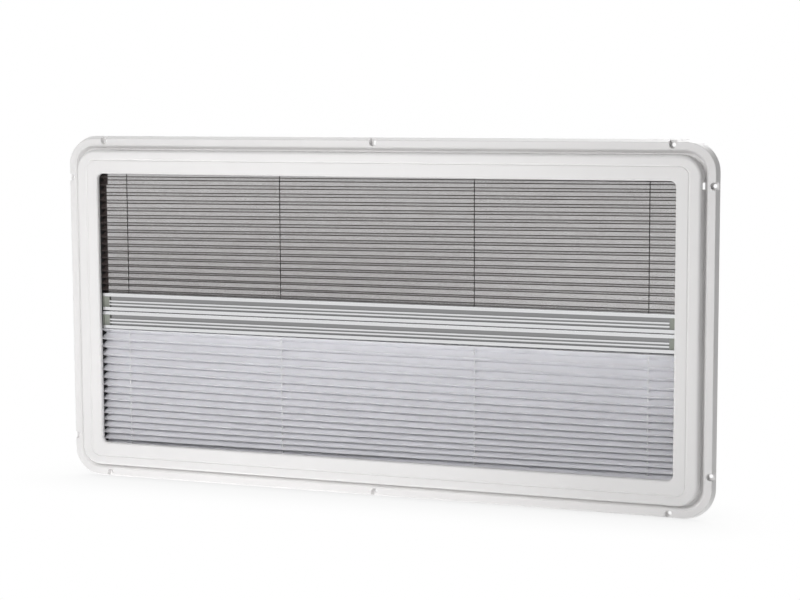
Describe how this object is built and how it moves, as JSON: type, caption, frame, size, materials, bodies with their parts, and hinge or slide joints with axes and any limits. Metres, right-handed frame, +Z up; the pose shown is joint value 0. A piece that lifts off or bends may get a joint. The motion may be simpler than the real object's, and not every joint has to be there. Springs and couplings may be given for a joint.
{
  "type": "caravan window inner frame with pleated fly screen and blind",
  "caption": "Moulded inner frame of a caravan window with a pleated fly screen above and a pleated blackout blind below, each pulled along side guides by a grooved handle bar.",
  "frame": {"origin": "centre of the window opening, on the flat wall face of the surround's flange", "axes": "+X to the right as seen from the room, +Y out through the wall, +Z up"},
  "size_m": [0.946, 0.0325, 0.496],
  "materials": {
    "white_moulding": "fine satin, off-white",
    "black_guide": "dull black",
    "bar_aluminium": "satin anodised, drawn lengthwise",
    "grey_cap": "matte grey-green",
    "screen_mesh": "fine grey insect mesh, see-through",
    "blind_fabric": "silver-grey coated blackout fabric",
    "black_cord": "thin braided cord",
    "white_cord": "thin braided cord"
  },
  "bodies": {
    "surround": {"surround_frame": "white_moulding", "guide_channel_left": "black_guide", "guide_channel_right": "black_guide", "head_rail": "black_guide", "sill_rail": "black_guide", "corner_plate_top_left": "black_guide", "corner_plate_top_right": "black_guide", "corner_plate_bottom_left": "black_guide", "corner_plate_bottom_right": "black_guide", "screen_pleats": "screen_mesh", "blind_pleats": "blind_fabric", "screen_cord_1": "black_cord", "screen_cord_2": "black_cord", "screen_cord_3": "black_cord", "screen_cord_4": "black_cord", "blind_cord_1": "white_cord", "blind_cord_2": "white_cord", "blind_cord_3": "white_cord", "blind_cord_4": "white_cord"},
    "screen_bar": {"screen_bar": "bar_aluminium", "screen_bar_cap_left": "grey_cap", "screen_bar_cap_right": "grey_cap"},
    "blind_bar": {"blind_bar": "bar_aluminium", "blind_bar_cap_left": "grey_cap", "blind_bar_cap_right": "grey_cap"}
  },
  "joints": [
    {"name": "screen_slide", "type": "slide", "parent": "surround", "child": "screen_bar", "axis": [0, 0, 1], "range_m": [0, 0.166], "deforming": ["screen_pleats", "screen_cord_1", "screen_cord_2", "screen_cord_3", "screen_cord_4"]},
    {"name": "blind_slide", "type": "slide", "parent": "surround", "child": "blind_bar", "axis": [0, 0, -1], "range_m": [0, 0.159], "deforming": ["blind_pleats", "blind_cord_1", "blind_cord_2", "blind_cord_3", "blind_cord_4"]}
  ]
}
